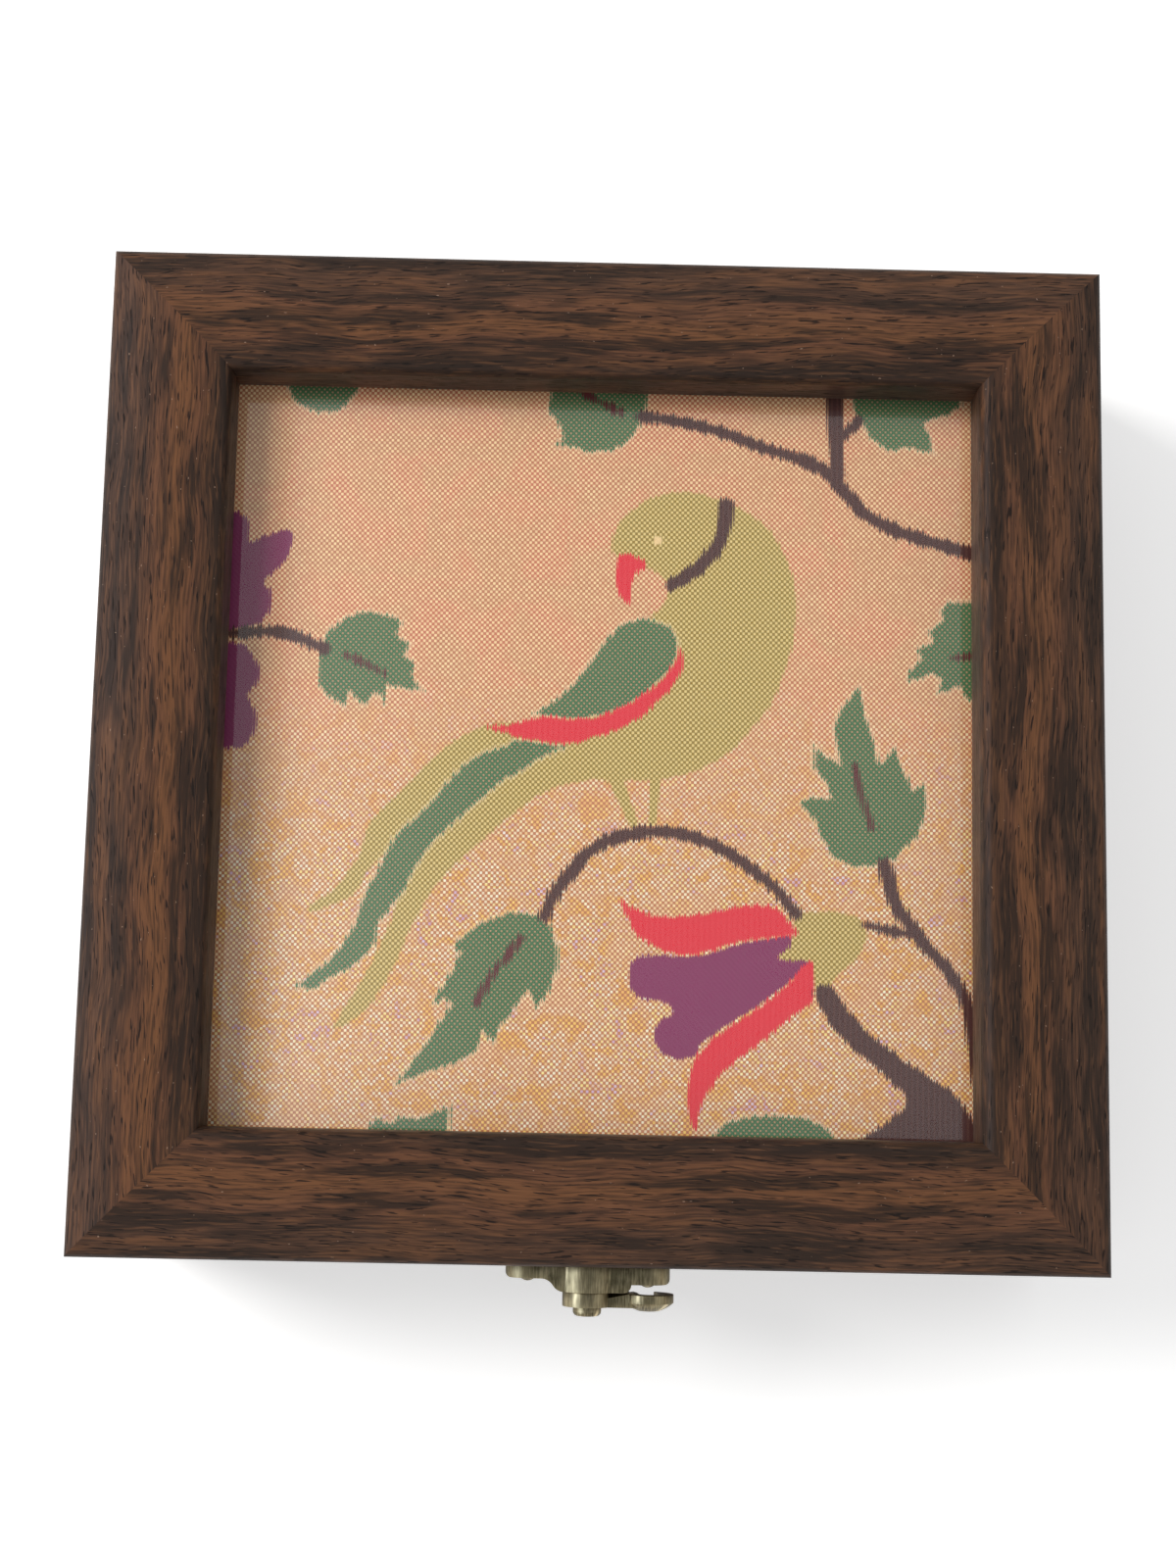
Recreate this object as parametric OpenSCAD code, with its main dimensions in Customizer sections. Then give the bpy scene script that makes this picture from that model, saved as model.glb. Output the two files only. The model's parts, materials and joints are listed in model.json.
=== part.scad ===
// Square wooden keepsake box with a framed, glazed lid that shows a woven brocade panel.
// Millimetres, +Z up. The latch is at the front (-Y) and the hinges are at the back (+Y).
// The origin is the centre of the underside.

/* [Overall] */
// Outside width, left to right
box_w = 152; // [120:1:220]
// Outside depth of the woodwork, front to back
box_d = 152; // [120:1:220]
// Height of the body up to the line where the lid parts from it
body_h = 35; // [30:1:80]

/* [Body walls] */
// Thickness of the four body walls
wall_t = 9; // [8:0.5:12]
// Chamfer along the outer edges that meet at the parting line
eased_edge = 0.8; // [0.5:0.1:1.2]
// Diameter of the pins driven through each mitred corner
pin_d = 1; // [0.8:0.1:1.4]
// Length of a corner pin
pin_l = 16; // [12:1:20]
// Depth of a corner pin's head below the outer face, under the foil
pin_cover = 0.5; // [0.3:0.1:1]
// Number of pins up each corner
pins_up = 2; // [2:1:3]
// Height of the lowest and highest corner pins from the wall's edges
pin_edge = 9; // [7:1:12]

/* [Bottom panel] */
// Thickness of the bottom panel
bottom_t = 3; // [2.5:0.5:5]
// Width of the rebate under the walls that takes the bottom panel
bottom_rebate = 5; // [4:0.5:6]
// Diameter of the brads under the bottom
brad_d = 1; // [0.8:0.1:1.4]
// Diameter of a brad's flat head
brad_head_d = 2; // [1.6:0.1:2.6]
// Thickness of a brad's head
brad_head_t = 0.5; // [0.3:0.1:0.8]
// Length of a brad
brad_l = 12; // [8:1:16]
// Number of brads along each side
brads_side = 3; // [2:1:5]
// Distance of the end brads from the box's corners
brad_corner = 31; // [24:1:40]

/* [Linings] */
// Thickness of the covered cards on the inside of the walls
side_lining_t = 1.2; // [0.8:0.1:2]
// Distance that the side cards stop below the rim
side_lining_drop = 1.5; // [0.5:0.1:3]
// Thickness of the padded card on the bottom
base_lining_t = 1.6; // [1:0.1:3]
// Thickness of the covered card under the lid
lid_lining_t = 1.2; // [1:0.1:2]
// Distance of the lid's card above the parting line
lid_lining_up = 0.2; // [0:0.1:0.5]
// Gap left around each lining card
lining_gap = 0.2; // [0.1:0.05:0.5]

/* [Lid moulding] */
// Width of the moulding across its face
rail_w = 19; // [16:0.5:25]
// Height of the moulding's crown above the parting line
crown_h = 16; // [15:0.5:20]
// Distance of the crown from the moulding's outer side
crown_in = 12.5; // [10:0.5:14]
// Radius of the domed face
dome_r = 39; // [34:1:60]
// Radius of the outer top edge
edge_r = 1.6; // [1:0.1:2.4]
// Radius of the inner edge, above the glass
lip_r = 2.2; // [1.4:0.1:2.8]
// Width of the rebate that holds the glass and boards
rebate_w = 5.5; // [4.5:0.5:7]

/* [Lid panel] */
// Thickness of the glass
glass_t = 2; // [1.5:0.1:3]
// Thickness of the brocade cloth
cloth_t = 0.4; // [0.3:0.1:0.8]
// Thickness of the card that the brocade is stretched on
mount_t = 1.2; // [0.8:0.1:2]
// Thickness of the backing board
backing_t = 2.4; // [1.8:0.1:3]
// Gap between the panel's layers and the rebate's sides
panel_gap = 0.4; // [0.2:0.1:0.8]

/* [Lid fasteners] */
// Length of the flat points that hold the backing board
point_l = 11; // [9:0.5:13]
// Depth that a point is driven into the moulding
point_driven = 6; // [4:0.5:7]
// Width of a point
point_w = 5; // [3:0.5:7]
// Thickness of a point
point_t = 0.5; // [0.4:0.1:0.8]
// Distance of the points from the lid's corners
point_corner = 42; // [36:1:50]
// Length of each leg of the L-shaped nails under the mitres
key_leg = 4.5; // [3:0.5:5]
// Height of an L-shaped nail
key_h = 6; // [4:0.5:7]
// Thickness of an L-shaped nail
key_t = 0.5; // [0.4:0.1:0.8]
// Distance of an L-shaped nail's corner from the lid's two sides
key_in = 5; // [4:0.5:6]

/* [Hinges] */
// Length of each hinge
hinge_l = 20; // [15:1:30]
// Distance from the box's side to the near end of a hinge
hinge_side = 21; // [14:1:28]
// Height of a leaf from the hinge's pin to its far edge
leaf_h = 10.5; // [9:0.5:12]
// Thickness of a leaf
leaf_t = 0.9; // [0.7:0.1:1.2]
// Diameter of the hinge's pin
hinge_pin_d = 1.4; // [1.2:0.1:1.8]
// Distance that the pin stands out at each end of the knuckles
hinge_pin_out = 0.3; // [0.1:0.1:0.6]
// Radial play between the pin and the lid leaf's knuckles
hinge_play = 0.05; // [0.02:0.01:0.1]
// Number of knuckles
knuckles = 5; // [3:2:7]
// Gap between neighbouring knuckles
knuckle_gap = 0.15; // [0.1:0.05:0.3]
// Gap between the knuckles and the woodwork or the other leaf's heel
barrel_gap = 0.3; // [0.25:0.05:0.5]
// Height of the thick heel beside the knuckles
heel_h = 1.5; // [1.2:0.1:2]
// Angle between the leaves' heels, where the lid's swing is stopped
stop_angle = 111; // [106:1:116]
// Diameter of a hinge screw's shank
screw_d = 1.6; // [1.2:0.1:2]
// Diameter of a hinge screw's countersunk head
screw_head_d = 3; // [2.6:0.1:3.6]
// Height of a hinge screw's head
screw_head_h = 0.7; // [0.5:0.1:0.7]
// Length of a hinge screw
screw_l = 7; // [5:0.5:8]
// Distance between a leaf's two screws
screw_pitch = 12; // [9:0.5:16]
// Distance of the screws from the hinge's pin
screw_down = 7; // [6:0.5:8]

/* [Latch] */
// Half the width of the lid's latch plate
plate_half_w = 12.2; // [11:0.1:14]
// Thickness of the plate's thin left end
plate_t = 2.1; // [1.6:0.1:2.6]
// Thickness of the plate's right end, under the parked arm
rest_t = 2.8; // [2.4:0.1:3.2]
// Height of the plate's middle, which carries the arm
boss_t = 4; // [3.4:0.1:4.4]
// Radius of the plate's middle, seen from the front
plate_mid_r = 4.6; // [4.2:0.1:4.8]
// Radius of the plate's rounded ends, seen from the front
plate_end_r = 3.3; // [2.6:0.1:3.8]
// Height of the plate's waist between its middle and its ends
plate_waist = 4.8; // [3.6:0.1:5.2]
// Rounding of the plate's two end faces
plate_corner_r = 0.8; // [0.4:0.1:1.2]
// Width of the swept rise from the left end to the middle
plate_sweep = 3.5; // [2.5:0.1:4]
// Distance from the rivet to the top of the swept rise
plate_rise_x = 3.4; // [3:0.1:4]
// Distance from the rivet to the step down to the right end
plate_step_x = 5.2; // [4.4:0.1:6]
// Height of the arm's rivet above the parting line
pivot_up = 5.5; // [5.4:0.1:6.4]
// Distance of the peg below the parting line
peg_down = 3.6; // [3.4:0.1:5]
// Diameter of the peg
peg_d = 2.4; // [1.8:0.1:2.6]
// Length of the peg from the wall's face
peg_l = 6; // [5.2:0.1:6.4]
// Thickness of the body's catch plate
catch_t = 1.6; // [1.2:0.1:2]
// Half the distance between the catch plate's two nails
catch_nail_x = 5.6; // [5:0.1:6.5]
// Radius of the catch plate's rounded ends
catch_end_r = 2.3; // [1.9:0.1:2.5]
// Radius of the catch plate's middle
catch_mid_r = 2.6; // [2.2:0.1:2.6]
// Height of the catch plate's waist between its middle and its ends
catch_waist = 3.2; // [2.4:0.1:3.8]
// Distance of the catch plate's lower lobe below the peg
catch_lobe = 2.8; // [2:0.1:4]
// Thickness of the swinging arm at its rivet
arm_t = 2.1; // [1.6:0.1:2.6]
// Radius of the arm's round head
arm_head_r = 3.7; // [3.2:0.1:4]
// Width of the arm's neck
arm_neck_w = 4.4; // [3.6:0.1:5]
// Height that the neck's back is lifted clear of the plate
arm_neck_lift = 0.8; // [0.4:0.1:1]
// Radius of the arm's domed hook
hook_r = 3.7; // [3.2:0.1:4.2]
// Height of the hook's dome above the arm's face
hook_dome = 0.75; // [0.4:0.05:1]
// Thickness of the hook at the rim of its dome
hook_rim_t = 1.2; // [0.8:0.1:1.6]
// Height that the hook's back is lifted clear of the plate
hook_lift = 0.2; // [0.1:0.1:0.5]
// Turn of the arm over which the hook's mouth opens
mouth_turn = 50; // [40:1:60]
// Gap between the moving arm and the fixed latch pieces beside it
arm_gap = 0.1; // [0.05:0.05:0.2]
// Gap between the hook's mouth and the peg
mouth_gap = 0.3; // [0.25:0.05:0.5]
// Diameter of the arm's rivet
rivet_d = 2; // [1.6:0.1:2.4]
// Diameter of the rivet's head
rivet_head_d = 4.2; // [3.6:0.1:5]
// Thickness of the rivet's head
rivet_head_t = 1.35; // [1:0.05:1.6]
// Rounding of the rivet's head
rivet_edge = 0.7; // [0.3:0.1:0.9]
// Radial play of the arm on its rivet
rivet_play = 0.08; // [0.04:0.01:0.1]
// Diameter of the latch's nails
nail_d = 1.2; // [1:0.1:1.4]
// Diameter of a nail's domed head
nail_head_d = 2.4; // [2:0.1:2.8]
// Depth that a latch nail is driven into the wood
nail_driven = 6; // [4:0.5:7]

/* [Hidden] */

$fn = 96;
past = 1;               // how far a cutting shape runs past the face that it cuts
front_turn = 0;         // angles that bring a side made at the front to its place
right_turn = 90;
back_turn = 180;
left_turn = 270;
all_turns = [front_turn, right_turn, back_turn, left_turn];

// Moulding: centres of the dome, the outer edge and the lip, and where their arcs meet
dome_z = crown_h - dome_r;
edge_z = dome_z + sqrt(pow(dome_r - edge_r, 2) - pow(crown_in - edge_r, 2));
lip_z = dome_z + sqrt(pow(dome_r - lip_r, 2) - pow(rail_w - lip_r - crown_in, 2));
edge_join = [
    crown_in + (edge_r - crown_in) * dome_r / (dome_r - edge_r),
    dome_z + (edge_z - dome_z) * dome_r / (dome_r - edge_r)
];
lip_join = [
    crown_in + (rail_w - lip_r - crown_in) * dome_r / (dome_r - lip_r),
    dome_z + (lip_z - dome_z) * dome_r / (dome_r - lip_r)
];

// Panel: heights of its layers above the parting line, from the lining up to the lip's underside
backing_z = lid_lining_up + lid_lining_t;
mount_z = backing_z + backing_t;
cloth_z = mount_z + mount_t;
glass_z = cloth_z + cloth_t;
rebate_h = glass_z + glass_t;
rebate_in = rail_w - rebate_w;

// Hinge: the pin lies on the parting line, just clear of the back face
knuckle_r = hinge_pin_d / 2 + leaf_t;
pin_back = sqrt(pow(knuckle_r + barrel_gap, 2) - pow(eased_edge, 2));
heel_top = knuckle_r + barrel_gap;
hinge_x = box_w / 2 - hinge_side - hinge_l / 2;
knuckle_pitch = hinge_l / knuckles;

// Latch: the arm's reach from its rivet to the peg, and the heights of its layers off the wood
reach = pivot_up + peg_down;
arm_in = boss_t + arm_gap;
arm_out = arm_in + arm_t;
neck_in = arm_in + arm_neck_lift;
hook_in = arm_in + hook_lift;
hook_out = arm_out + hook_dome;
mouth_r = peg_d / 2 + mouth_gap;
latch_nail_x = plate_half_w - plate_end_r;
nail_head_h = nail_head_d / 4;

wood = [0.30, 0.20, 0.16];
board = [0.55, 0.42, 0.30];
velvet = [0.35, 0.05, 0.10];
steel = [0.60, 0.61, 0.62];
antique_brass = [0.48, 0.43, 0.28];

// Length of the side at a turn, and how far its outer face lies from the middle
function is_cross(turn) = turn % 180 == 0;
function side_l(turn) = is_cross(turn) ? box_w : box_d;
function side_out(turn) = is_cross(turn) ? box_d / 2 : box_w / 2;

// A straight length of a section, mitred at both ends. The section runs inward in X and up in Y.
module mitred_side(turn, band, height) {
    half = side_l(turn) / 2;
    out = side_out(turn);
    rotate(turn) intersection() {
        translate([-half, -out, 0])
            rotate([90, 0, 90])
                linear_extrude(2 * half) children();
        translate([0, 0, -past])
            linear_extrude(height + 2 * past)
                polygon([
                    [-half, -out], [half, -out],
                    [half - band, band - out], [band - half, band - out]
                ]);
    }
}

// Body walls

module wall_section() {
    ledge = wall_t - bottom_rebate;
    polygon([
        [0, 0], [ledge, 0], [ledge, bottom_t], [wall_t, bottom_t], [wall_t, body_h],
        [eased_edge, body_h], [0, body_h - eased_edge]
    ]);
}

module corner_pin_set() {
    rise = (body_h - 2 * pin_edge) / (pins_up - 1);
    for (x = [-1, 1], y = [-1, 1], i = [0 : pins_up - 1])
        translate([x * (box_w / 2 - pin_cover), y * (box_d - wall_t) / 2, pin_edge + i * rise])
            rotate([0, -90 * x, 0]) cylinder(d = pin_d, h = pin_l);
}

module brad() {
    cylinder(d = brad_head_d, h = brad_head_t);
    cylinder(d = brad_d, h = brad_l);
}

module brad_set() {
    in = wall_t - bottom_rebate / 2;
    for (turn = all_turns) {
        span = side_l(turn) - 2 * brad_corner;
        rotate(turn)
            for (i = [0 : brads_side - 1])
                translate([span * (i / (brads_side - 1) - 0.5), in - side_out(turn), 0]) brad();
    }
}

module wall(turn) {
    difference() {
        mitred_side(turn, wall_t, body_h) wall_section();
        corner_pin_set();
        brad_set();
        if (turn == back_turn) hinge_screw_set(-1);
        if (turn == front_turn) catch_nail_set();
    }
}

module wall_front() { color(wood) wall(front_turn); }
module wall_back() { color(wood) wall(back_turn); }
module wall_left() { color(wood) wall(left_turn); }
module wall_right() { color(wood) wall(right_turn); }
module corner_pins() { color(steel) corner_pin_set(); }
module bottom_brads() { color(steel) brad_set(); }

module bottom_panel() {
    in = wall_t - bottom_rebate;
    color(board) difference() {
        translate([in - box_w / 2, in - box_d / 2, 0])
            cube([box_w - 2 * in, box_d - 2 * in, bottom_t]);
        brad_set();
    }
}

// Linings

module base_lining() {
    w = box_w - 2 * (wall_t + side_lining_t + lining_gap);
    d = box_d - 2 * (wall_t + side_lining_t + lining_gap);
    color(velvet) translate([-w / 2, -d / 2, bottom_t]) cube([w, d, base_lining_t]);
}

// A covered card against the inside of one wall. The front and back cards run full length.
module side_lining(turn) {
    lap = is_cross(turn) ? 0 : side_lining_t;
    len = side_l(turn) - 2 * (wall_t + lap + lining_gap);
    color(velvet) rotate(turn)
        translate([-len / 2, wall_t - side_out(turn), bottom_t])
            cube([len, side_lining_t, body_h - side_lining_drop - bottom_t]);
}

module lining_front() { side_lining(front_turn); }
module lining_back() { side_lining(back_turn); }
module lining_left() { side_lining(left_turn); }
module lining_right() { side_lining(right_turn); }

// Lid moulding

module rail_section() {
    difference() {
        union() {
            polygon([
                [0, eased_edge], [eased_edge, 0], [rail_w, 0], [rail_w, lip_z],
                lip_join, edge_join, [0, edge_z]
            ]);
            translate([edge_r, edge_z]) circle(r = edge_r);
            translate([rail_w - lip_r, lip_z]) circle(r = lip_r);
            intersection() {
                translate([crown_in, dome_z]) circle(r = dome_r, $fn = 256);
                translate([edge_join[0], edge_z]) square([lip_join[0] - edge_join[0], crown_h]);
            }
        }
        translate([rebate_in, -past]) square([rebate_w + past, rebate_h + past]);
    }
}

module on_lid() {
    translate([0, 0, body_h]) children();
}

// L-shaped nails pressed up into the mitres from below
module mitre_nail_set() {
    for (x = [-1, 1], y = [-1, 1])
        scale([x, y, 1])
            translate([key_in - box_w / 2, key_in - box_d / 2, 0])
                linear_extrude(key_h)
                    polygon([
                        [0, 0], [key_leg, 0], [key_leg, key_t],
                        [key_t, key_t], [key_t, key_leg], [0, key_leg]
                    ]);
}

// Flat steel points driven sideways into the moulding, just under the backing board
module point_set() {
    for (turn = all_turns, x = [-1, 1])
        rotate(turn)
            translate([x * (side_l(turn) / 2 - point_corner) - point_w / 2,
                       rebate_in - point_driven - side_out(turn), backing_z - point_t])
                cube([point_w, point_l, point_t]);
}

module rail(turn) {
    difference() {
        on_lid() difference() {
            mitred_side(turn, rail_w, crown_h) rail_section();
            mitre_nail_set();
            point_set();
        }
        if (turn == back_turn) hinge_screw_set(1);
        if (turn == front_turn) latch_nail_set();
    }
}

module rail_front() { color(wood) rail(front_turn); }
module rail_back() { color(wood) rail(back_turn); }
module rail_left() { color(wood) rail(left_turn); }
module rail_right() { color(wood) rail(right_turn); }
module mitre_nails() { color(steel) on_lid() mitre_nail_set(); }
module backing_points() { color(steel) on_lid() point_set(); }

// Lid panel: a stack of flat sheets in the rebate

module sheet(z, thick, gap) {
    w = box_w - 2 * (rebate_in + gap);
    d = box_d - 2 * (rebate_in + gap);
    on_lid() translate([-w / 2, -d / 2, z]) cube([w, d, thick]);
}

module glass_pane() { color([0.85, 0.92, 0.90, 0.35]) sheet(glass_z, glass_t, panel_gap); }
module brocade_cloth() { color([0.90, 0.70, 0.52]) sheet(cloth_z, cloth_t, panel_gap); }
module mount_card() { color([0.90, 0.88, 0.82]) sheet(mount_z, mount_t, panel_gap); }
module backing_board() { color(board) sheet(backing_z, backing_t, panel_gap); }

// The lining is pressed in over the points, which leave shallow pockets in it
module lid_lining() {
    color(velvet) difference() {
        sheet(lid_lining_up, lid_lining_t, lining_gap);
        on_lid() point_set();
    }
}

// Hinges, made about the pin: X runs along it, Y points back and the leaf hangs below

module at_hinge(x) {
    translate([x, box_d / 2 + pin_back, body_h]) children();
}

// Section of a leaf: a thin plate against the wood and a thick heel that stops the swing
module leaf_section() {
    face = leaf_t - pin_back;
    slope = tan(stop_angle / 2);
    polygon([
        [-pin_back, -leaf_h], [face, -leaf_h], [face, -heel_top - heel_h], [knuckle_r, -heel_top - heel_h],
        [knuckle_r, -knuckle_r * slope], [heel_top / slope, -heel_top], [-pin_back, -heel_top]
    ]);
}

module knuckle(i) {
    translate([i * knuckle_pitch - (hinge_l - knuckle_gap) / 2, 0, 0]) {
        rotate([0, 90, 0]) cylinder(r = knuckle_r, h = knuckle_pitch - knuckle_gap);
        translate([0, -pin_back, -heel_top - past / 2])
            cube([knuckle_pitch - knuckle_gap, leaf_t, heel_top + past / 2]);
    }
}

// A leaf with every other knuckle, counted from first
module leaf(first, bore) {
    difference() {
        union() {
            translate([-hinge_l / 2, 0, 0])
                rotate([90, 0, 90]) linear_extrude(hinge_l) leaf_section();
            for (i = [first : 2 : knuckles - 1]) knuckle(i);
        }
        rotate([0, 90, 0]) cylinder(d = bore, h = hinge_l + 2 * past, center = true);
        leaf_screw_pair();
    }
}

module screw_blank() {
    tip = screw_d / 2;
    translate([0, 0, -screw_head_h]) cylinder(d1 = screw_d, d2 = screw_head_d, h = screw_head_h);
    translate([0, 0, tip - screw_l]) cylinder(d = screw_d, h = screw_l - tip - screw_head_h / 2);
    translate([0, 0, -screw_l]) cylinder(r1 = screw_d / 8, r2 = screw_d / 2, h = tip);
}

module leaf_screws_at() {
    for (x = [-1, 1])
        translate([x * screw_pitch / 2, leaf_t - pin_back, -screw_down])
            rotate([-90, 0, 0]) children();
}

module leaf_screw_pair() { leaf_screws_at() screw_blank(); }

// Screws of both hinges, below the pin (-1) or above it (1)
module hinge_screw_set(up) {
    for (x = [-hinge_x, hinge_x])
        at_hinge(x) scale([1, 1, -up]) leaf_screw_pair();
}

module driver_slots(up) {
    slot_w = screw_head_d / 7;
    for (x = [-hinge_x, hinge_x])
        at_hinge(x) scale([1, 1, -up]) leaf_screws_at()
            cube([screw_head_d + past, slot_w, slot_w * 2], center = true);
}

module hinge_screws(up) {
    color(antique_brass) difference() {
        hinge_screw_set(up);
        driver_slots(up);
    }
}

module body_leaf(x) {
    color(antique_brass) at_hinge(x) leaf(0, hinge_pin_d);
}

module lid_leaf(x) {
    color(antique_brass) at_hinge(x) scale([1, 1, -1]) leaf(1, hinge_pin_d + 2 * hinge_play);
}

module hinge_pin(x) {
    color(antique_brass) at_hinge(x)
        rotate([0, 90, 0]) cylinder(d = hinge_pin_d, h = hinge_l + 2 * hinge_pin_out, center = true);
}

module hinge_body_leaf_left() { body_leaf(-hinge_x); }
module hinge_body_leaf_right() { body_leaf(hinge_x); }
module hinge_lid_leaf_left() { lid_leaf(-hinge_x); }
module hinge_lid_leaf_right() { lid_leaf(hinge_x); }
module hinge_pin_left() { hinge_pin(-hinge_x); }
module hinge_pin_right() { hinge_pin(hinge_x); }
module hinge_body_screws() { hinge_screws(-1); }
module hinge_lid_screws() { hinge_screws(1); }

// Latch, made as seen from the front: X right, Y up and Z out of the wood

module at_pivot() {
    translate([0, -box_d / 2, body_h + pivot_up]) rotate([90, 0, 0]) children();
}

module at_peg() {
    translate([0, -box_d / 2, body_h - peg_down]) rotate([90, 0, 0]) children();
}

module domed_nail(top) {
    translate([0, 0, -nail_driven]) cylinder(d = nail_d, h = nail_driven + top);
    translate([0, 0, top]) intersection() {
        scale(nail_head_d / 2) translate([0, 0, -0.75]) sphere(r = 1.25);
        cylinder(d = nail_head_d + past, h = nail_head_h * 2);
    }
}

module latch_nail_set() {
    at_pivot() {
        translate([-latch_nail_x, 0, 0]) domed_nail(plate_t);
        translate([latch_nail_x, 0, 0]) domed_nail(rest_t);
    }
}

module catch_nail_set() {
    at_peg() for (x = [-1, 1]) translate([x * catch_nail_x, 0, 0]) domed_nail(catch_t);
}

// Front outline of the lid's plate: a round middle between two rounded ends
module plate_outline() {
    circle(r = plate_mid_r);
    square([2 * latch_nail_x, plate_waist], center = true);
    for (x = [-1, 1]) translate([x * latch_nail_x, 0]) circle(r = plate_end_r);
}

// Thickness of the lid's plate seen from above: thin left end, swept rise, flat middle, step
module plate_rise() {
    rise = boss_t - plate_t;
    arc_r = (pow(plate_sweep, 2) + pow(rise, 2)) / (4 * rise);
    foot_x = -plate_rise_x - plate_sweep;
    mid_x = -plate_rise_x - plate_sweep / 2;
    plate_end(-1, plate_t);
    plate_end(1, rest_t);
    translate([-plate_rise_x, 0]) square([plate_rise_x + plate_step_x, boss_t]);
    translate([plate_step_x, rest_t]) circle(r = boss_t - rest_t);
    difference() {
        translate([foot_x, plate_t / 2]) square([plate_sweep / 2, boss_t / 2]);
        translate([foot_x, plate_t + arc_r]) circle(r = arc_r);
    }
    intersection() {
        translate([mid_x, 0]) square([plate_sweep / 2, boss_t]);
        union() {
            translate([-plate_rise_x, boss_t - arc_r]) circle(r = arc_r);
            translate([mid_x, 0]) square([plate_sweep / 2, boss_t - rise / 2]);
        }
    }
}

// One half of the plate seen from above, at an even thickness, with its end rounded over
module plate_end(way, thick) {
    scale([way, 1]) {
        square([plate_half_w - plate_corner_r, thick]);
        square([plate_half_w, thick - plate_corner_r]);
        translate([plate_half_w - plate_corner_r, thick - plate_corner_r]) circle(r = plate_corner_r);
    }
}

module latch_plate() {
    tall = 2 * plate_mid_r + past;
    color(antique_brass) at_pivot() difference() {
        intersection() {
            linear_extrude(boss_t + past) plate_outline();
            translate([0, tall / 2, 0]) rotate([90, 0, 0]) linear_extrude(tall) plate_rise();
        }
        rivet_shape();
        translate([-latch_nail_x, 0, 0]) domed_nail(plate_t);
        translate([latch_nail_x, 0, 0]) domed_nail(rest_t);
    }
}

module rivet_shape() {
    head_z = arm_out + arm_gap;
    head_r = rivet_head_d / 2;
    cylinder(d = rivet_d, h = head_z + rivet_head_t / 2);
    translate([0, 0, head_z]) rotate_extrude() {
        square([head_r - rivet_edge, rivet_head_t]);
        square([head_r, rivet_head_t - rivet_edge]);
        intersection() {
            translate([head_r - rivet_edge, rivet_head_t - rivet_edge]) circle(r = rivet_edge);
            square([head_r, rivet_head_t]);
        }
    }
}

module latch_rivet() { color(antique_brass) at_pivot() rivet_shape(); }
module latch_plate_nails() { color(antique_brass) latch_nail_set(); }

// The mouth follows the arc that the peg takes as the arm swings down over it
module mouth() {
    translate([reach, 0]) circle(r = mouth_r);
    difference() {
        intersection() {
            circle(r = reach + mouth_r);
            polygon([[0, 0], [2 * reach, 0], 2 * reach * [cos(mouth_turn), -sin(mouth_turn)]]);
        }
        circle(r = reach - mouth_r);
    }
}

module latch_arm() {
    cap_h = hook_out - hook_in - hook_rim_t;
    dome_sphere_r = (pow(hook_r, 2) + pow(cap_h, 2)) / (2 * cap_h);
    color(antique_brass) at_pivot() difference() {
        union() {
            translate([0, 0, arm_in]) cylinder(r = arm_head_r, h = arm_t);
            translate([0, -arm_neck_w / 2, neck_in])
                cube([reach, arm_neck_w, arm_out - neck_in]);
            intersection() {
                translate([reach, 0, hook_in]) cylinder(r = hook_r, h = arm_t + hook_dome);
                translate([reach, 0, hook_out - dome_sphere_r]) sphere(r = dome_sphere_r);
            }
        }
        translate([0, 0, arm_in - past]) cylinder(d = rivet_d + 2 * rivet_play, h = arm_t + 2 * past);
        translate([0, 0, hook_in - past]) linear_extrude(arm_t + hook_dome + 2 * past) mouth();
    }
}

module catch_outline() {
    circle(r = catch_mid_r);
    square([2 * catch_nail_x, catch_waist], center = true);
    for (x = [-1, 1]) translate([x * catch_nail_x, 0]) circle(r = catch_end_r);
    translate([0, -catch_lobe]) circle(r = catch_mid_r);
}

module catch_plate() {
    color(antique_brass) at_peg() difference() {
        linear_extrude(catch_t) catch_outline();
        cylinder(d = peg_d, h = 3 * catch_t, center = true);
        for (x = [-1, 1]) translate([x * catch_nail_x, 0, 0]) domed_nail(catch_t);
    }
}

module catch_peg() {
    color(antique_brass) at_peg() {
        cylinder(d = peg_d, h = peg_l - peg_d / 2);
        translate([0, 0, peg_l - peg_d / 2]) sphere(d = peg_d);
    }
}

module catch_plate_nails() { color(antique_brass) catch_nail_set(); }

bottom_panel();
wall_front();
wall_back();
wall_left();
wall_right();
corner_pins();
bottom_brads();
base_lining();
lining_front();
lining_back();
lining_left();
lining_right();
rail_front();
rail_back();
rail_left();
rail_right();
mitre_nails();
glass_pane();
brocade_cloth();
mount_card();
backing_board();
backing_points();
lid_lining();
hinge_body_leaf_left();
hinge_body_leaf_right();
hinge_lid_leaf_left();
hinge_lid_leaf_right();
hinge_pin_left();
hinge_pin_right();
hinge_body_screws();
hinge_lid_screws();
latch_plate();
latch_arm();
latch_rivet();
latch_plate_nails();
catch_plate();
catch_peg();
catch_plate_nails();
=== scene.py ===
"""Dresses the keepsake box: grained foil, a woven brocade panel under glass, velvet and antique brass."""

import json
import math

import bmesh
import bpy
import numpy as np
from bpy.props import FloatProperty, FloatVectorProperty, PointerProperty
from mathutils import Matrix, Vector


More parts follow.
